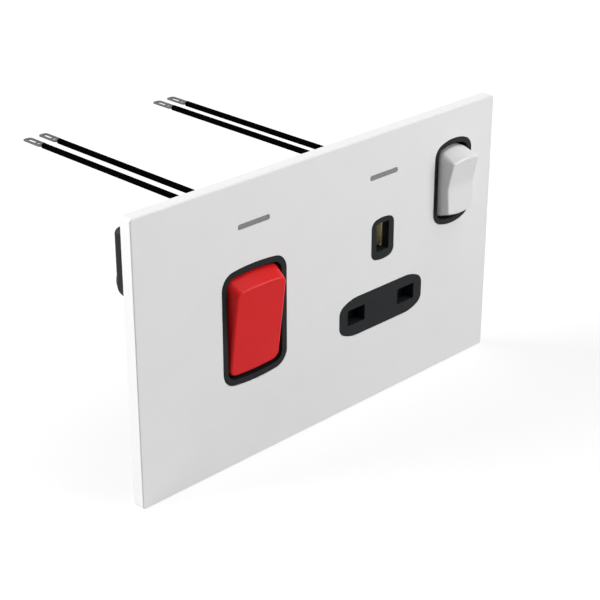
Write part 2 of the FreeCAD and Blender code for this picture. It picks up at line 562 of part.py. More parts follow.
def rear_housing():
    """The dark back moulding: tubs for both switches and the socket, and a lobe for the earth terminal."""
    wall = "housing_wall"
    cooker_x = ("cooker_left", "cooker_right")
    switch_x = ("switch_left", "switch_right")
    lobe = box(("lobe_left", "cooker_left + housing_wall"), ("0", "lobe_depth"), ("lobe_bottom", "lobe_top"))

    def lobe_edge(shape, edge):
        """How an edge of the lobe is rounded: more at its foot, and not against the wall or the tub."""
        box_of = edge.BoundBox
        whole = shape.BoundBox
        at_back = box_of.YMax > whole.YMax - NEAR and box_of.XMin < whole.XMax - NEAR
        at_left = box_of.XMax < whole.XMin + NEAR and box_of.YLength > NEAR
        at_foot = at_left and box_of.ZMax < whole.ZMin + NEAR
        return "lobe_foot" if at_foot else at_back or at_left

    def behind_mouth(shape, edge):
        """Whether an edge of a tub runs back from its mouth or round its floor."""
        return edge.BoundBox.YMax > shape.BoundBox.YMin + NEAR

    def tub(x, y, z):
        """A block with the edges behind its mouth rounded."""
        return softened(box(x, y, z), "tub_corner", behind_mouth)
    solids = [
        tub(cooker_x, ("0", "cooker_deep_start + housing_wall"),
            ("-cooker_tub_height / 2", "cooker_tub_height / 2")),
        tub(cooker_x, ("cooker_deep_start", "cooker_tub_depth"),
            ("-cooker_deep_height / 2", "cooker_deep_height / 2")),
        tub(("cooker_right - housing_wall", "socket_tub_right"), ("0", "socket_tub_depth"),
            ("socket_tub_bottom", "socket_tub_top")),
        tub(switch_x, ("0", "switch_deep_start + housing_wall"), ("switch_tub_bottom", "switch_tub_top")),
        tub(switch_x, ("switch_deep_start", "socket_tub_depth"), ("switch_tub_bottom", "switch_deep_top")),
        softened(lobe, "lobe_corner", lobe_edge),
        rod("y", "lobe_boss_radius", "lobe_depth + lobe_boss_height - lobe_boss_start",
            "lobe_boss_x", "lobe_boss_start", "lobe_boss_z"),
    ]
    ear = ("boss_height", "boss_height + ear_thickness")
    side = ("boss_low - ear_radius", "boss_low + ear_radius")
    middle = ("boss_mid - ear_radius", "boss_mid + ear_radius")
    spans = ((("boss_left", "cooker_left + housing_wall / 2"), side),
             (("socket_tub_right - housing_wall / 2", "boss_right"), side),
             (middle, ("socket_tub_top - housing_wall / 2", "boss_high")),
             (middle, ("boss_foot", "socket_tub_bottom + housing_wall / 2")))
    for (x, z), (wide, tall) in zip(BOSSES, spans):
        solids += [rod("y", "ear_radius", "ear_thickness", x, "boss_height", z), box(wide, ear, tall)]
    inside = (f"cooker_left + {wall}", f"cooker_right - {wall}")
    deep = f"cooker_deep_height / 2 - {wall}"
    low = f"cooker_tub_height / 2 - {wall}"
    side_x = (f"switch_left + {wall}", f"switch_right - {wall}")
    tools = [
        box(inside, ("-past", f"cooker_deep_start + {wall} + bond"), (f"-({low})", low)),
        box(inside, (f"cooker_deep_start + {wall}", "cooker_floor"), (f"-({deep})", deep)),
        box(("cooker_right", f"socket_tub_right - {wall}"), ("-past", "socket_floor"),
            (f"socket_tub_bottom + {wall}", f"socket_tub_top - {wall}")),
        box(side_x, ("-past", f"switch_deep_start + {wall}"),
            (f"switch_tub_bottom + {wall}", f"switch_tub_top - {wall}")),
        box(side_x, (f"switch_deep_start + {wall} - bond", "socket_floor"),
            (f"switch_tub_bottom + {wall}", f"switch_deep_top - {wall}")),
        box(("lobe_left + housing_wall", "cooker_left"), ("-past", f"lobe_depth - {wall}"),
            (f"lobe_bottom + {wall}", f"lobe_top - {wall}")),
    ]
    barrier = box(("cooker_x - barrier_thickness / 2", "cooker_x + barrier_thickness / 2"),
                  ("barrier_front", "cooker_floor + bond"), (f"-({deep}) - bond", f"{deep} + bond"))
    late = [
        box(("lobe_left + housing_wall", "socket_x"), ("strap_front - slot_gap", "strap_back + slot_gap"),
            ("strap_z - slot_gap", "strap_z + strap_sheet + slot_gap")),
        box(("neutral_tab_x", "neutral_x"), ("link_front - slot_gap", "socket_floor"),
            ("neutral_link_z - slot_gap", "neutral_link_z + link_width + slot_gap")),
        box(("cooker_right - housing_wall - slot_gap", "socket_x"), ("link_front - slot_gap", "socket_floor"),
            ("live_link_z - slot_gap", "live_link_z + link_width + slot_gap")),
        rod("y", "earth_access", "housing_wall + 2 * past", "earth_x", "lobe_depth - housing_wall - past",
            "earth_block_low + earth_block_height / 2"),
        rod("z", "earth_entry", "housing_wall + 2 * past", "earth_x",
            "earth_block_front + earth_block_depth / 2", "lobe_top - housing_wall - past"),
    ]
    for side in (-1, 1):
        x = f"cooker_x + {side} * terminal_offset"
        for end in (-1, 1):
            late.append(rod("y", "clamp_access", "housing_floor + 2 * past", x, "cooker_floor - past",
                            f"{end} * clamp_z"))
            mouth = "cooker_deep_height / 2 - housing_wall - past"
            start = mouth if end > 0 else f"-({mouth}) - housing_wall - 2 * past"
            late.append(rod("z", "cable_entry", "housing_wall + 2 * past", x, "cable_y", start))
    for x, z in BOSSES:
        late.append(rod("y", "screw_radius + screw_gap", "ear_thickness + 2 * past",
                        x, "boss_height - past", z))
    piece("rear_housing", cut(joined(cut(joined(*solids), *tools), barrier), *late))


def valley(z):
    """A wedge that hollows the switch's face: its ridge runs across and lies deepest."""
    wedge = doc.addObject("Part::Wedge", "Valley")
    bind(wedge, Xmin="-switch_face_width", Xmax="switch_face_width", X2min="-switch_face_width",
         X2max="switch_face_width", Ymin="-switch_face_height - switch_dish",
         Ymax="switch_dish - switch_face_height", Zmin="-switch_face_length - 2 * switch_dish_over",
         Zmax="switch_face_length + 2 * switch_dish_over", Z2min=0, Z2max=0)
    return put(wedge, z=z)


def valley_edge(shape, edge):
    """Whether an edge lies along the ridge of the valley's wedge."""
    return edge.BoundBox.YMin > shape.BoundBox.YMax - NEAR and edge.BoundBox.XLength > NEAR


def rocker(name, key, poles):
    """A hollow rocker with its trunnions and plunger sockets, drawn about its pivot and then tilted."""
    face_y, foot_y = f"-{key}_face_height", f"-{key}_foot_rise"
    foot = (f"{key}_foot_width", f"{key}_foot_length", f"{key}_foot_corner")
    face = (f"{key}_face_width", f"{key}_face_length", f"{key}_face_corner")
    foot_bow, drop = f"{key}_foot_bow", f"-{key}_face_drop"
    cap = loft(outline(*foot, y=foot_y, bow=foot_bow),
               outline(*face, y=face_y, z=drop, bow=f"{key}_face_bow"))
    if key == "switch":
        cap = cut(cap, softened(valley(drop), "switch_knee", valley_edge))
    cap = softened(cap, f"{key}_edge", front_face_edge)
    skirt = slab(*foot, (foot_y, f"{key}_skirt"), bow=foot_bow)
    top = f"{key}_front_wall - {key}_face_height"
    hollow = slab(f"{key}_foot_width - 2 * {key}_shell", f"{key}_face_length - {key}_shell",
                  f"{key}_face_corner - {key}_shell / 2", (top, f"{key}_skirt + past"))
    shell = cut(joined(cap, skirt), hollow)
    extras = [rod("x", "trunnion_radius", "trunnion_reach + bond", start)
              for start in (f"{key}_foot_width / 2 - bond", f"-{key}_foot_width / 2 - trunnion_reach")]
    extras += [rod("y", f"{key}_socket_radius", f"{key}_socket_reach - ({top}) + bond", x, f"{top} - bond")
               for x in poles]
    bores = [rod("y", f"{key}_plunger_radius + plunger_bore_gap",
                 f"{key}_socket_reach - ({key}_bore_top) + past", x, f"{key}_bore_top") for x in poles]
    whole = cut(joined(shell, *extras), *bores)
    piece(name, tilted(whole, f"{key}_x", "pivot_y", f"{key}_z", f"{key}_tilt"))


def plunger(name, key, x):
    """A sprung pin in the rocker, with a round tip that rides on the moving contact."""
    tail = "plunger_tail - seat_gap"
    pin = rod("y", f"{key}_plunger_radius", f"{key}_tip - ({tail})", x, tail)
    whole = joined(pin, ball(f"{key}_plunger_radius", x, f"{key}_tip"))
    piece(name, tilted(whole, f"{key}_x", "pivot_y", f"{key}_z", f"{key}_tilt"))


def plunger_spring(name, key, x):
    """The spring between the bottom of a plunger's bore and its tail."""
    spring = coil(f"{key}_plunger_radius - spring_wire / 2 - spring_side_gap", "spring_wire",
                  f"plunger_tail - 2 * seat_gap - ({key}_bore_top) - spring_wire", "spring_turns")
    spring.Placement.Rotation = turned("y")
    put(spring, x, f"{key}_bore_top + seat_gap + spring_wire / 2 + spring_wire / 2", 0)
    holder = doc.addObject("Part::Compound", "Seat")
    holder.Links = [spring]
    piece(name, tilted(holder, f"{key}_x", "pivot_y", f"{key}_z", f"{key}_tilt"))


def moving_contact(name, key, x):
    """A seesaw contact that rocks on its bracket's pin, with a contact button on its upper arm."""
    half = f"{key}_contact_width / 2"
    front = f"-{key}_contact_seat - {key}_contact_thickness"
    solids = [box((f"-{half}", half), (front, f"-{key}_contact_seat"),
                  (f"-{key}_contact_arm", f"{key}_contact_arm"))]
    for left in (f"-{half}", f"{half} - ear_sheet"):
        solids.append(box((left, f"{left} + ear_sheet"), (front, "ear_reach"), ("-ear_reach", "ear_reach")))
    solids.append(rod("y", "button_radius", "button_height + bond", 0, f"-{key}_contact_seat - bond",
                      f"{key}_button_arm"))
    hole = rod("x", f"{key}_pin_radius + running_gap", f"{key}_contact_width + 2 * past", f"-{half} - past")
    whole = cut(joined(*solids), hole)
    piece(name, tilted(whole, f"{key}_x + {x}", f"{key}_pivot_depth", f"{key}_z", f"-{key}_contact_tilt"))


def fixed_button(key, x):
    """The fixed contact's button, a small gap behind the moving one."""
    face = (f"{key}_pivot_depth - {key}_contact_seat * cos({key}_contact_tilt)"
            f" + {key}_button_arm * sin({key}_contact_tilt) + button_height + button_gap")
    return rod("y", "button_radius", f"{key}_bar_front - ({face}) + bond", x, face,
               f"{key}_z + {key}_button_arm * cos({key}_contact_tilt)")


def pivot_post(key, x):
    """The post and pin that a moving contact rocks on."""
    inner = f"{key}_contact_width / 2 - ear_sheet - slot_gap"
    tall = f"{key}_pin_radius * post_share"
    post = box((f"{x} - ({inner})", f"{x} + {inner}"), (f"{key}_pivot_depth", f"{key}_bar_front + bond"),
               (f"{key}_z - {tall}", f"{key}_z + {tall}"))
    pin = rod("x", f"{key}_pin_radius", f"{key}_contact_width", f"{x} - {key}_contact_width / 2",
              f"{key}_pivot_depth", f"{key}_z")
    return post, pin


def cooker_pole(side_name, side):
    """One pole of the cooker switch, with its supply terminal above and its load terminal below."""
    x = f"cooker_x + {side} * cooker_pole_offset"
    block_x = f"cooker_x + {side} * terminal_offset"
    half = "cooker_contact_width / 2"
    inner, outer = f"{x} - {side} * {half}", f"{x} + {side} * {half}"
    wide = (inner, outer) if side > 0 else (outer, inner)
    far = f"{block_x} + {side} * (terminal_width / 2 - bar_inset)"
    broad = (inner, far) if side > 0 else (far, inner)
    depth = ("cooker_bar_front", "terminal_front")
    top = "terminal_high - bar_inset"
    supply = joined(box(wide, depth, ("cooker_z + cooker_bar_low", top)),
                    box(broad, depth, ("terminal_low", top)),
                    fixed_button("cooker", x))
    piece(f"cooker_fixed_contact_{side_name}", supply)
    load = joined(box(wide, depth, (f"-({top})", "cooker_z + cooker_bracket_high")),
                  box(broad, depth, (f"-({top})", "-terminal_low")), *pivot_post("cooker", x))
    piece(f"cooker_pivot_bracket_{side_name}", load)
    moving_contact(f"cooker_moving_contact_{side_name}", "cooker", f"{side} * cooker_pole_offset")
    screws = []
    for kind, end in (("supply", 1), ("load", -1)):
        low, high = ("terminal_low", "terminal_high") if end > 0 else ("-(terminal_high)", "-terminal_low")
        block = box((f"{block_x} - terminal_width / 2", f"{block_x} + terminal_width / 2"),
                    ("terminal_front", "terminal_back"), (low, high))
        clamp = f"{end} * clamp_z"
        bore = rod("z", "cable_bore", "terminal_height + 2 * past", block_x, "cable_y", f"{low} - past")
        thread = rod("y", "clamp_radius + clamp_gap", "terminal_depth", block_x, "cable_y", clamp)
        piece(f"{kind}_terminal_{side_name}", cut(block, bore, thread))
        screws.append(screw(
            "clamp_radius", "terminal_depth - cable_depth - cable_bore + clamp_clear", "clamp_head",
            "clamp_head_height", block_x, "terminal_back + clamp_clear * 2", clamp))
    return screws


def socket_switch():
    """The socket switch's contacts and the links that feed and leave it."""
    half = "switch_contact_width / 2"
    wide = (f"switch_x - {half}", f"switch_x + {half}")
    depth = ("switch_bar_front", "switch_bar_front + link_sheet")
    top = "switch_deep_top - housing_wall - slot_gap"
    foot = ("link_front - link_sheet", "link_front")
    piece("socket_fixed_contact", joined(
        box(wide, depth, ("switch_z + switch_bar_low", top)),
        box(wide, ("switch_bar_front", "link_front"), (f"{top} - link_sheet", top)),
        box(wide, foot, (f"{top} - link_foot", top)), fixed_button("switch", "switch_x")))
    low = "link_row_z + link_foot - slot_gap"
    piece("socket_pivot_bracket", joined(
        box(wide, depth, (f"{low} - link_sheet", "switch_z + switch_bracket_high")),
        box(wide, ("switch_bar_front", "link_front"), (f"{low} - link_sheet", low)),
        box(wide, foot, ("link_row_z", low)), *pivot_post("switch", "switch_x")))
    moving_contact("socket_moving_contact", "switch", "0")
    sheet_y = ("link_front", "socket_floor")
    live_z = ("live_link_z", "live_link_z + link_width")
    block_side = "cooker_x + terminal_offset + terminal_width / 2"
    piece("live_link", joined(box((block_side, f"switch_x + {half}"), sheet_y, live_z),
                              box(wide, sheet_y, ("live_link_z", top))))
    lane = ("link_corner_x", "link_corner_x + link_lane")
    bottom = "line_z - link_lane / 2"
    piece("switched_live_link", joined(
        box((lane[0], f"switch_x + {half}"), sheet_y, ("link_row_z", low)),
        box(lane, sheet_y, (bottom, low)),
        box(("live_x - line_leaf_width / 2", lane[1]), sheet_y, (bottom, f"{bottom} + link_lane"))))
    neutral_z = ("neutral_link_z", "neutral_link_z + link_width")
    piece("neutral_link", joined(
        box(("neutral_tab_x", "neutral_tab_x + link_sheet"),
            ("link_front - link_sheet", "link_front + link_width"),
            (neutral_z[0], "terminal_high - link_width")),
        box(("neutral_tab_x", "neutral_x + link_width / 2"), sheet_y, neutral_z),
        box(("neutral_x - link_width / 2", "neutral_x + link_width / 2"), sheet_y, (bottom, neutral_z[1]))))


def line_contact(name, x):
    """A pair of spring leaves that grip a flat pin from above and below."""
    wide = (f"{x} - line_leaf_width / 2", f"{x} + line_leaf_width / 2")
    base = ("link_front - link_sheet", "link_front")
    gap = "leaf_mouth / 2"
    solids = [box(wide, base, (f"line_z - {gap} - leaf_thickness", f"line_z + {gap} + leaf_thickness"))]
    for side in (-1, 1):
        near, far = f"line_z + {side} * {gap}", f"line_z + {side} * ({gap} + leaf_thickness)"
        solids.append(box(wide, ("line_leaf_front", base[1]), (near, far) if side > 0 else (far, near)))
        solids.append(rod("x", "dimple_radius", "line_leaf_width - 2 * dimple_inset",
                          f"{wide[0]} + dimple_inset", "line_dimple",
                          f"line_z + {side} * ({gap} + dimple_radius - dimple_rise)"))
    piece(name, joined(*solids))


def earth_parts():
    """The earth terminal, its strap and the earth contact's two leaves."""
    low = "earth_block_low"
    mid_y, mid_z = "earth_block_front + earth_block_depth / 2", f"{low} + earth_block_height / 2"
    block = box(("earth_left", "earth_left + earth_block_width"), ("earth_block_front", "earth_block_back"),
                (low, f"{low} + earth_block_height"))
    bore = rod("z", "earth_bore", "earth_block_height + 2 * past", "earth_x", mid_y, f"{low} - past")
    thread = rod("y", "earth_clamp + clamp_gap", "earth_block_depth", "earth_x", mid_y, mid_z)
    piece("earth_terminal", cut(block, bore, thread))
    piece("earth_terminal_screw", screw(
        "earth_clamp", "earth_block_depth / 2 - earth_bore + clamp_clear", "earth_clamp_head",
        "clamp_head_height", "earth_x", "earth_block_back + 2 * clamp_clear", mid_z))
    deep = ("strap_front", "strap_back")
    right = "earth_leaf_right"
    piece("earth_strap", joined(
        box(("earth_left", f"{right} + strap_sheet"), deep, ("strap_z", "strap_z + strap_sheet")),
        box((right, f"{right} + strap_sheet"), deep, ("strap_tail_end", "strap_z + strap_sheet"))))
    tall = ("earth_z - earth_leaf_height / 2", "earth_z + earth_leaf_height / 2")
    gap = "leaf_mouth / 2"
    solids = [box((f"socket_x - {gap} - leaf_thickness", f"socket_x + {gap} + leaf_thickness"),
                  ("link_front", "socket_floor"), tall)]
    for side in (-1, 1):
        near, far = f"socket_x + {side} * {gap}", f"socket_x + {side} * ({gap} + leaf_thickness)"
        solids.append(box((near, far) if side > 0 else (far, near),
                          ("plate_front + earth_wall + earth_leaf_inset", "socket_floor"), tall))
        solids.append(rod("z", "dimple_radius", "earth_leaf_height - 2 * dimple_inset",
                          f"socket_x + {side} * ({gap} + dimple_radius - dimple_rise)", "earth_dimple",
                          f"{tall[0]} + dimple_inset"))
    piece("earth_contact", joined(*solids))


def shutter_parts():
    """The sliding shutter behind the line and neutral holes, with the earth pin's ramp, and its spring."""
    arm = ("socket_x - shutter_arm / 2", "socket_x + shutter_arm / 2")
    flat = box(("shutter_left", "shutter_right"), ("shutter_front", "shutter_back"),
               ("shutter_low", "shutter_high"))
    stem = box(arm, ("shutter_front", "shutter_back"), ("shutter_high - bond", "ramp_foot"))
    ramp = doc.addObject("Part::Wedge", "Ramp")
    bind(ramp, Xmin=0, Xmax="shutter_arm", X2min=0, X2max="shutter_arm", Ymin=0,
         Ymax="ramp_depth - shutter_back + bond", Zmin=0, Zmax="ramp_rise", Z2min="ramp_rise",
         Z2max="2 * ramp_rise")
    put(ramp, arm[0], "shutter_back - bond", "ramp_foot - ramp_rise")
    piece("shutter", joined(flat, stem, ramp))
    spring = coil("shutter_spring_radius", "shutter_spring_wire",
                  "shutter_spring_length - shutter_spring_wire - 2 * seat_gap", "spring_turns")
    put(spring, "socket_x", "shutter_spring_radius + shutter_spring_wire / 2 + slot_gap",
        "shutter_low - shutter_spring_length + seat_gap + shutter_spring_wire")
    holder = doc.addObject("Part::Compound", "Seat")
    holder.Links = [spring]
    piece("shutter_spring", holder)


def indicator(name, x):
    """One indicator: lens, light source, board and cover, and its two leads with their end tags."""
    z = "indicator_z"
    wall_back = "cover_depth - cover_wall"
    lens = joined(slab("slot_length - 2 * lens_gap", "slot_height - 2 * lens_gap", "slot_corner",
                       ("plate_front + lens_inset", "bond"), x, z),
                  slab("lens_foot_length", "lens_foot_height", "foot_corner", ("0", "lens_foot_depth"), x, z))
    piece(f"{name}_indicator_lens", lens)
    piece(f"{name}_indicator_led", softened(box(
        (f"{x} - led_length / 2", f"{x} + led_length / 2"), ("lens_foot_depth + led_gap", "board_front"),
        (f"{z} - led_height / 2", f"{z} + led_height / 2")), "led_edge", front_face_edge))
    piece(f"{name}_indicator_board", slab("board_length", "board_height", "foot_corner",
                                          ("board_front", "board_back"), x, z))
    shell = slab("cover_length", "cover_height", "cover_corner", ("0", "cover_depth"), x, z)
    room = slab("cover_length - 2 * cover_wall", "cover_height - 2 * cover_wall", "foot_corner",
                ("-past", wall_back), x, z)
    places = [(end, f"{x} {sign} lead_spacing / 2") for end, sign in (("left", "-"), ("right", "+"))]
    glands = [rod("y", "lead_radius + gland_gap", "cover_wall + 2 * past", at, f"{wall_back} - past", z)
              for _, at in places]
    piece(f"{name}_indicator_cover", cut(shell, room, *glands))
    for end, at in places:
        piece(f"{name}_lead_{end}", rod("y", "lead_radius", "lead_end - (board_back)", at, "board_back", z))
        middle = "lead_end + tag_length / 2"
        blade = pushed(outline("tag_width", "tag_length", "tag_corner", at, middle, f"{z} - tag_sheet / 2",
                               upright=False), (0, 0, 1), "tag_sheet")
        holes = []
        for start, length in (("tag_hole_start", "tag_hole_length"),
                              ("tag_window_start", "tag_window_length")):
            holes.append(pushed(outline(
                "tag_hole_width", length, "tag_hole_width * 0.4", at, f"lead_end + {start} + {length} / 2",
                f"{z} - tag_sheet", upright=False), (0, 0, 1), "tag_sheet * 2"))
        piece(f"{name}_lead_tag_{end}", cut(blade, *holes))


front_plate()
front_moulding()
socket_face()
rear_housing()
cooker_poles = (("left", "-cooker_pole_offset"), ("right", "cooker_pole_offset"))
for name, key, poles in (("cooker", "cooker", cooker_poles), ("socket", "switch", (("", "0"),))):
    rocker(f"{name}_rocker", key, [x for _, x in poles])
    for end, x in poles:
        plunger("_".join(filter(None, (name, "plunger", end))), key, x)
        plunger_spring("_".join(filter(None, (name, "plunger_spring", end))), key, x)
clamps = cooker_pole("left", -1) + cooker_pole("right", 1)
group("cooker_terminal_screws", clamps)
socket_switch()
line_contact("live_contact", "live_x")
line_contact("neutral_contact", "neutral_x")
earth_parts()
shutter_parts()
for name, x in INDICATORS.items():
    indicator(name, x)
group("housing_screws", [screw("screw_radius", "ear_thickness + screw_reach - screw_end_gap", "screw_head",
                               "screw_head_height", x, "boss_height + ear_thickness", z) for x, z in BOSSES])

doc.recompute()
failed = [thing.Label for thing in doc.Objects if "Invalid" in thing.State or "Error" in thing.State]
if failed:
    raise RuntimeError(f"these objects failed: {failed}")
os.makedirs("parts", exist_ok=True)
for part in PIECES:
    if part.Shape.isNull() or not part.Shape.isValid() or not part.Shape.Solids:
        raise RuntimeError(f"{part.Label} has no valid solid")
    part.Shape.exportStep(f"parts/{part.Label}.step")
print(len(PIECES), "sub-parts")
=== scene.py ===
"""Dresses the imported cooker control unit: materials, leads, springs, studio light and the camera.

Lengths are in metres, in the part's own frame: +X right, +Y into the wall, +Z up.
"""

import json
import math

import bpy
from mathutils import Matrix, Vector


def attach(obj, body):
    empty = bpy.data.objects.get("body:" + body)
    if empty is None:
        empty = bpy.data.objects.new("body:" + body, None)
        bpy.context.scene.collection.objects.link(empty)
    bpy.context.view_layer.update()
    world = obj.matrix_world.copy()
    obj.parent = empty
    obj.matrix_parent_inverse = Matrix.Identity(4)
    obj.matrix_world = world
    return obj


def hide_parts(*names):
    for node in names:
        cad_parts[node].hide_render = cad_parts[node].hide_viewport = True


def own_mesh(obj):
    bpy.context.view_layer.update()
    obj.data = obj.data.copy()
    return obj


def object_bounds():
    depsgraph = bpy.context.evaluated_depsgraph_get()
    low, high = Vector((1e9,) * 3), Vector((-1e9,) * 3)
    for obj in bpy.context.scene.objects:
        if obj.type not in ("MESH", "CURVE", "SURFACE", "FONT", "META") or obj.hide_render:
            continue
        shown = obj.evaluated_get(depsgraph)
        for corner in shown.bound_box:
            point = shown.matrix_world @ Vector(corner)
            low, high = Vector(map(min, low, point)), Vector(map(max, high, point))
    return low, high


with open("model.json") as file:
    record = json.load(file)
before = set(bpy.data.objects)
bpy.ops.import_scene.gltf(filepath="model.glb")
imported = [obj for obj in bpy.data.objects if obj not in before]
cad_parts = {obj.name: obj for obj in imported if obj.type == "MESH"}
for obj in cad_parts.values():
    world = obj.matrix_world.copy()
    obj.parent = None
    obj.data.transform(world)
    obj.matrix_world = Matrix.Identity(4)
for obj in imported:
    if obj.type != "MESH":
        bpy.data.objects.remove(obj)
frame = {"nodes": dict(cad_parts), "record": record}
bpy.context.scene.view_settings.view_transform = "Standard"
cad_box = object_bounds()
nodes = frame["nodes"]
behaviour = frame["record"]["behaviour"]
MM = 0.001


# ---- materials ----

# Noise seldom leaves these values, so a number that follows it is spread between them.
NOISE_LOW, NOISE_HIGH = 0.3, 0.7


class Look:
    """A node material under construction, with its shader and the object's own coordinates."""

    def __init__(self, name):
        self.material = bpy.data.materials.new(name)
        self.material.use_nodes = True
        self.tree = self.material.node_tree
        self.shader = self.tree.nodes["Principled BSDF"]
        self.place = self.tree.nodes.new("ShaderNodeTexCoord").outputs["Object"]

    def node(self, kind, **sockets):
        """A node with its sockets set or linked; an underscore in a name stands for a space."""
        made = self.tree.nodes.new(kind)
        for name, value in sockets.items():
            socket = made.inputs[name.replace("_", " ")]
            if isinstance(value, bpy.types.NodeSocket):
                self.tree.links.new(value, socket)
            else:
                socket.default_value = value
        return made

    def stretched(self, scale):
        """The coordinates scaled by a different number along each axis."""
        mapping = self.node("ShaderNodeMapping", Vector=self.place)
        mapping.inputs["Scale"].default_value = scale
        return mapping.outputs["Vector"]

    def noise(self, scale, detail, place=None):
        """Soft noise; scale is in features per metre."""
        made = self.node("ShaderNodeTexNoise", Vector=place or self.place, Scale=scale, Detail=detail)
        return made.outputs["Fac"]

    def between(self, factor, low, high):
        """A number that runs from low to high with a noise."""
        made = self.node("ShaderNodeMapRange", Value=factor, From_Min=NOISE_LOW, From_Max=NOISE_HIGH,
                         To_Min=low, To_Max=high)
        return made.outputs["Result"]

    def tint(self, factor, colour, dark, light):
        """A colour that runs with a noise from dark times itself to light times itself."""
        mix = self.tree.nodes.new("ShaderNodeMix")
        mix.data_type = "RGBA"
        self.tree.links.new(self.between(factor, 0, 1), mix.inputs["Factor"])
        mix.inputs["A"].default_value = (*shade(colour, dark), 1)
        mix.inputs["B"].default_value = (*shade(colour, light), 1)
        return next(socket for socket in mix.outputs if socket.type == "RGBA")

    def bump(self, height, strength, distance, under=None):
        """A bump's normal; distance is the height in metres."""
        made = self.node("ShaderNodeBump", Height=height, Strength=strength, Distance=distance)
        if under:
            self.tree.links.new(under, made.inputs["Normal"])
        return made.outputs["Normal"]

    def finish(self, **sockets):
        """Sets the shader's sockets and returns the material."""
        for name, value in sockets.items():
            socket = self.shader.inputs[name.replace("_", " ")]
            if isinstance(value, bpy.types.NodeSocket):
                self.tree.links.new(value, socket)
            else:
                socket.default_value = value
        return self.material


def shade(colour, by):
    """A colour made darker or lighter."""
    return tuple(min(1.0, channel * by) for channel in colour)


def grey(level):
    """A colour with no hue."""
    return (level, level, level)


def moulded(name, colour, rough, grain, relief, tone, **extra):
    """Injection-moulded plastic: a fine spark-eroded grain over slow changes in tone and gloss.

    grain is in features per metre, relief is the grain's height and tone the change either way.
    """
    waviness, wave_height, gloss_change = 90, 0.05 * MM, 0.05
    look = Look(name)
    slow = look.noise(waviness, detail=2)
    fine = look.noise(grain, detail=4)
    waves = look.bump(slow, 0.15, wave_height)
    return look.finish(
        Base_Color=look.tint(slow, colour, 1 - tone, 1 + tone),
        Roughness=look.between(fine, rough - gloss_change, rough + gloss_change),
        Normal=look.bump(fine, 0.35, relief, waves), **extra)


def metal(name, colour, rough, along, tone=0.12):
    """Rolled, drawn or machined metal, with streaks along an axis and dull patches."""
    streak, streaks_across, patchiness, streak_height = 0.04, 9000, 260, 0.01 * MM
    polished, dull = rough - 0.08, rough + 0.12
    look = Look(name)
    streaks = look.noise(streaks_across, detail=3,
                         place=look.stretched([streak if axis == along else 1 for axis in "xyz"]))
    patches = look.noise(patchiness, detail=4)
    return look.finish(
        Base_Color=look.tint(patches, colour, 1 - tone, 1 + tone / 2), Metallic=1.0,
        Roughness=look.between(patches, polished, dull),
        Normal=look.bump(streaks, 0.25, streak_height))


def laminate(name, colour):
    """A glass-cloth circuit board: a woven grid under a thin coloured lacquer."""
    threads_per_metre, cloudiness, thread_height = 2500.0, 500, 0.01 * MM
    look = Look(name)
    weave = look.node("ShaderNodeTexChecker", Vector=look.place, Scale=threads_per_metre).outputs["Fac"]
    cloud = look.noise(cloudiness, detail=3)
    return look.finish(
        Base_Color=look.tint(cloud, colour, 0.8, 1.25), Roughness=look.between(cloud, 0.3, 0.45),
        Normal=look.bump(weave, 0.1, thread_height), Coat_Weight=0.4)


def frosted(name, colour, rough):
    """A light pipe of clouded plastic that passes a little light."""
    cloudiness, frost_height, gloss_change, scatter = 1200, 0.01 * MM, 0.06, 1 * MM
    look = Look(name)
    cloud = look.noise(cloudiness, detail=3)
    return look.finish(
        Base_Color=look.tint(cloud, colour, 0.9, 1.08),
        Roughness=look.between(cloud, rough - gloss_change, rough + gloss_change),
        Normal=look.bump(cloud, 0.2, frost_height),
        Subsurface_Weight=0.1, Subsurface_Radius=(scatter, scatter, scatter))


def sleeve(name, colour):
    """Drawn wire insulation: faint rings across a slightly mottled black skin."""
    rings_per_metre, mottles_per_metre, ring_height = 1800, 700, 0.02 * MM
    look = Look(name)
    rings = look.noise(rings_per_metre, detail=2, place=look.stretched((0.1, 1, 0.1)))
    mottle = look.noise(mottles_per_metre, detail=3)
    return look.finish(
        Base_Color=look.tint(mottle, colour, 0.7, 1.4), Roughness=look.between(mottle, 0.5, 0.65),
        Normal=look.bump(rings, 0.2, ring_height), Specular_IOR_Level=0.03, IOR=1.08)


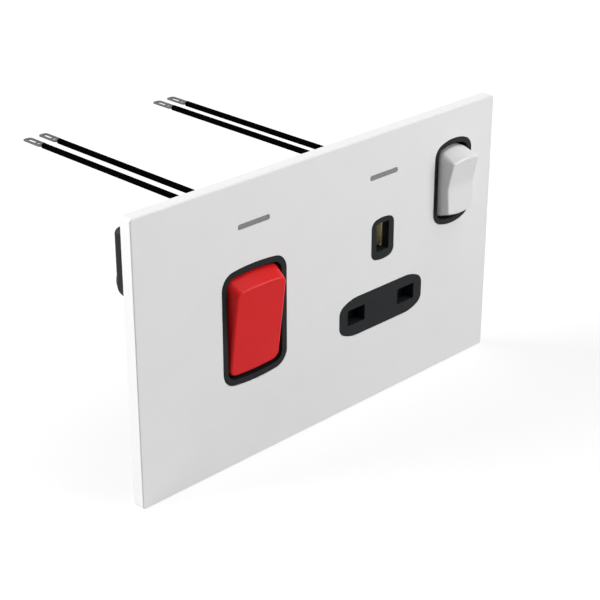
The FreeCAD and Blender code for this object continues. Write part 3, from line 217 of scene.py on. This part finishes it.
LOOKS = {
    "white_plastic": moulded(
        "white_plastic", grey(0.86), rough=0.42, grain=5200, relief=0.006 * MM, tone=0.008),
    "rocker_white": moulded(
        "rocker_white", grey(0.82), rough=0.3, grain=4200, relief=0.004 * MM, tone=0.008),
    "rocker_red": moulded(
        "rocker_red", (0.76, 0.012, 0.014), rough=0.32, grain=4200, relief=0.004 * MM, tone=0.03,
        Specular_IOR_Level=0.15),
    "dark_plastic": moulded(
        "dark_plastic", (0.013, 0.015, 0.0165), rough=0.5, grain=3600, relief=0.012 * MM, tone=0.1,
        Specular_IOR_Level=0.1),
    "shutter_plastic": moulded(
        "shutter_plastic", (0.008, 0.008, 0.009), rough=0.5, grain=3600, relief=0.01 * MM, tone=0.08,
        Specular_IOR_Level=0.1),
    "nylon": moulded(
        "nylon", (0.72, 0.68, 0.58), rough=0.45, grain=3000, relief=0.01 * MM, tone=0.03),
    "zinc_steel": metal("zinc_steel", (0.5, 0.51, 0.52), rough=0.42, along="y"),
    "tinned_metal": metal("tinned_metal", (0.13, 0.13, 0.135), rough=0.6, along="y"),
    "spring_steel": metal("spring_steel", (0.5, 0.5, 0.51), rough=0.28, along="z"),
    "copper": metal("copper", (0.72, 0.36, 0.22), rough=0.34, along="z", tone=0.2),
    "brass": metal("brass", (0.8, 0.62, 0.27), rough=0.45, along="z", tone=0.14),
    "lens": frosted("lens", (0.22, 0.225, 0.23), rough=0.45),
    "led_body": frosted("led_body", (0.75, 0.7, 0.5), rough=0.25),
    "board": laminate("board", (0.03, 0.14, 0.05)),
    "lead_sleeve": sleeve("lead_sleeve", grey(0.001)),
}


def dress(piece, material):
    """Gives a piece one material."""
    piece.data.materials.clear()
    piece.data.materials.append(material)


for part in frame["record"]["subparts"]:
    dress(nodes[part["node"]], LOOKS[part["material_slot"]])
# The earth contact is bare brass, painted paler than the other brass as painted light, so that it shows
# in the dark of its pin hole.
dress(nodes["earth_contact"], metal("brass_painted_light", (0.96, 0.88, 0.56), rough=0.55, along="z", tone=0.1))


def add(name, data):
    """A new object in the scene."""
    made = bpy.data.objects.new(name, data)
    bpy.context.scene.collection.objects.link(made)
    return made


# ---- indicator leads ----

LEAD_RADIUS = 0.93 * MM
LEAD_Z = 30 * MM
LEAD_START, LEAD_EXIT, LEAD_END = 4.2 * MM, 10.5 * MM, 87 * MM
LEAD_RUNS = 4
LEAD_ROUNDNESS = 8
LEAD_X = {
    "cooker_lead_left": -32.94 * MM, "cooker_lead_right": -26.94 * MM,
    "socket_lead_left": 19.8 * MM, "socket_lead_right": 25.8 * MM,
}


def lead(name, x):
    """One stiff lead, straight out from its board to its tag."""
    curve = bpy.data.curves.new(name + "_wire", "CURVE")
    curve.dimensions = "3D"
    curve.bevel_depth = LEAD_RADIUS
    curve.bevel_resolution = LEAD_ROUNDNESS
    curve.use_fill_caps = True
    spline = curve.splines.new("NURBS")
    spline.points.add(LEAD_RUNS)
    for i, point in enumerate(spline.points):
        y = LEAD_START + (LEAD_END - LEAD_START) * i / LEAD_RUNS
        point.co = (x, y, LEAD_Z, 1)
    spline.order_u = 3
    spline.use_endpoint_u = True
    wire = add(name + "_wire", curve)
    dress(wire, LOOKS["lead_sleeve"])
    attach(wire, "base")
    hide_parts(name)


for lead_name, lead_x in LEAD_X.items():
    lead(lead_name, lead_x)


# ---- springs ----

def spring(name):
    """A spring's coil as a copy of its own mesh, carried by the body that holds it."""
    body = next(key for key, members in behaviour["bodies"].items() if name in members)
    coil = add(name + "_coil", nodes[name].data.copy())
    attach(coil, body)
    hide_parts(name)
    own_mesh(coil)


for slide in behaviour["joints"]:
    for item in slide.get("deforming_nodes") or []:
        spring(item["node"])


# ---- camera ----

CAMERA_YAW, CAMERA_PITCH = math.radians(44.99), math.radians(25.02)
CAMERA_PLACE = (-0.3070, -0.2989, 0.1953)
SENSOR_WIDTH, FOCAL_LENGTH = 36, 95.93

camera = add("camera", bpy.data.cameras.new("camera"))
camera.data.sensor_width = SENSOR_WIDTH
camera.data.lens = FOCAL_LENGTH
camera.location = CAMERA_PLACE
ahead = Vector((math.sin(CAMERA_YAW) * math.cos(CAMERA_PITCH),
                math.cos(CAMERA_YAW) * math.cos(CAMERA_PITCH), -math.sin(CAMERA_PITCH)))
camera.rotation_euler = ahead.to_track_quat("-Z", "Y").to_euler()
bpy.context.scene.camera = camera


# ---- floor, world and light ----

AMBIENT = 0.08
FLOOR_GLOW, FLOOR_TONE = 0.72, 0.35
FLOOR_HALF = 3.0
FLOOR_DROP = 0.2 * MM
WHITE = (1, 1, 1, 1)


def seen(tree):
    """1 for the rays that show a background: those from the camera, a mirror or a glass."""
    path = tree.nodes.new("ShaderNodeLightPath")
    total = path.outputs["Is Camera Ray"]
    for name in ("Is Glossy Ray", "Is Transmission Ray"):
        most = tree.nodes.new("ShaderNodeMath")
        most.operation = "MAXIMUM"
        tree.links.new(total, most.inputs[0])
        tree.links.new(path.outputs[name], most.inputs[1])
        total = most.outputs[0]
    return total


def studio_world():
    """A dim even light all round, with a white background behind it."""
    world = bpy.data.worlds.new("studio")
    world.use_nodes = True
    tree = world.node_tree
    light, output = tree.nodes["Background"], tree.nodes["World Output"]
    light.inputs["Color"].default_value = WHITE
    light.inputs["Strength"].default_value = AMBIENT
    backdrop = tree.nodes.new("ShaderNodeBackground")
    backdrop.inputs["Color"].default_value = WHITE
    mix = tree.nodes.new("ShaderNodeMixShader")
    tree.links.new(seen(tree), mix.inputs[0])
    tree.links.new(light.outputs[0], mix.inputs[1])
    tree.links.new(backdrop.outputs[0], mix.inputs[2])
    tree.links.new(mix.outputs[0], output.inputs["Surface"])
    return world


def floor_paper():
    """Pale paper that takes the part's shadow and glows a little for the camera."""
    look = bpy.data.materials.new("floor")
    look.use_nodes = True
    tree = look.node_tree
    tree.nodes.remove(tree.nodes["Principled BSDF"])
    paper = tree.nodes.new("ShaderNodeBsdfDiffuse")
    paper.inputs["Color"].default_value = (*grey(FLOOR_TONE), 1)
    glow = tree.nodes.new("ShaderNodeEmission")
    tree.links.new(seen(tree), glow.inputs["Strength"])
    glow.inputs["Color"].default_value = (*grey(FLOOR_GLOW), 1)
    both = tree.nodes.new("ShaderNodeAddShader")
    tree.links.new(paper.outputs[0], both.inputs[0])
    tree.links.new(glow.outputs[0], both.inputs[1])
    tree.links.new(both.outputs[0], tree.nodes["Material Output"].inputs["Surface"])
    return look


bpy.context.scene.world = studio_world()

floor_z = cad_box[0].z - FLOOR_DROP
floor_mesh = bpy.data.meshes.new("floor")
corners = [(x * FLOOR_HALF, y * FLOOR_HALF, floor_z) for x, y in ((-1, -1), (1, -1), (1, 1), (-1, 1))]
floor_mesh.from_pydata(corners, [], [(0, 1, 2, 3)])
floor = add("floor", floor_mesh)
dress(floor, floor_paper())

# Square area lamps that face the part: each one's place and its power in watts.
LAMP_SIZE = 1.0
LAMPS = {
    "overhead": ((0.4, -0.5, 1.3), 6),
    "front_right": ((0.9, -1.2, 0.5), 18.3),
    "behind_left": ((-1.1, 0.9, 0.7), 34),
}

for lamp_name, (place, power) in LAMPS.items():
    lamp = bpy.data.lights.new(lamp_name, "AREA")
    lamp.size = LAMP_SIZE
    lamp.energy = power
    stand = add(lamp_name, lamp)
    stand.location = place
    stand.rotation_euler = (-Vector(place)).to_track_quat("-Z", "Y").to_euler()
